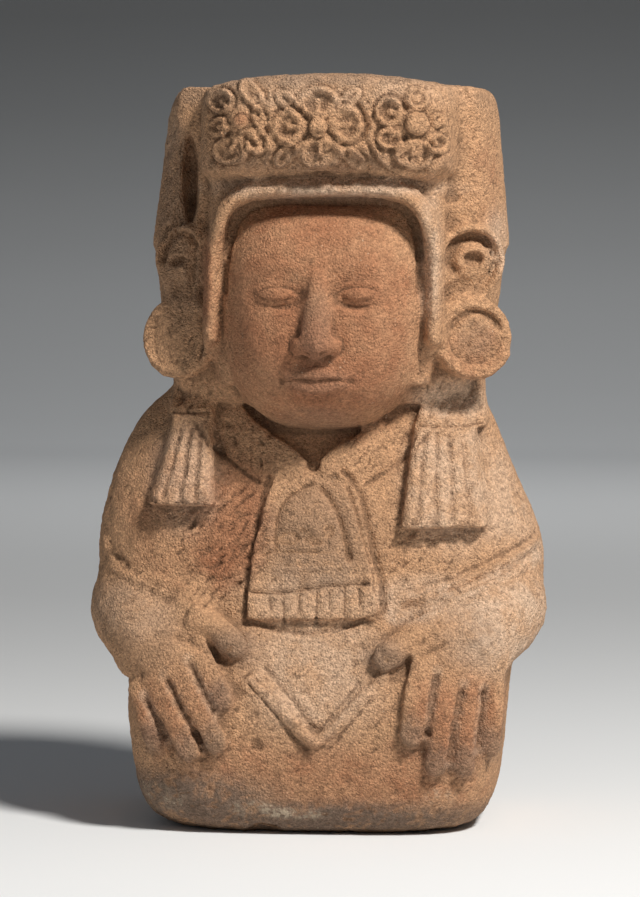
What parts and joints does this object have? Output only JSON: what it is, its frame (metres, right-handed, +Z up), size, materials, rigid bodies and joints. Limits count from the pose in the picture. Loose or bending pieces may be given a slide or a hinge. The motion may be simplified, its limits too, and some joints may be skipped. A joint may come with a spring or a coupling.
{
  "type": "fertility goddess figure",
  "caption": "Kneeling goddess figure carved from one block of volcanic stone, with hands on the lap, a flowered headdress, ear flares, tassels and a pectoral; stands on its flat underside",
  "frame": {"origin": "on the ground plane, under the centre of the figure's bounding box", "axes": "+Z up along the figure's height; the figure faces -Y; +X to the right of someone who looks at its face"},
  "size_m": [0.2252, 0.16, 0.36],
  "materials": {
    "volcanic_stone": "matt reddish tan volcanic stone with a coarse pitted grain, ochre in the hollows and grey wear on the high spots"
  },
  "bodies": {
    "root": {"goddess_figure": "volcanic_stone"}
  },
  "joints": []
}
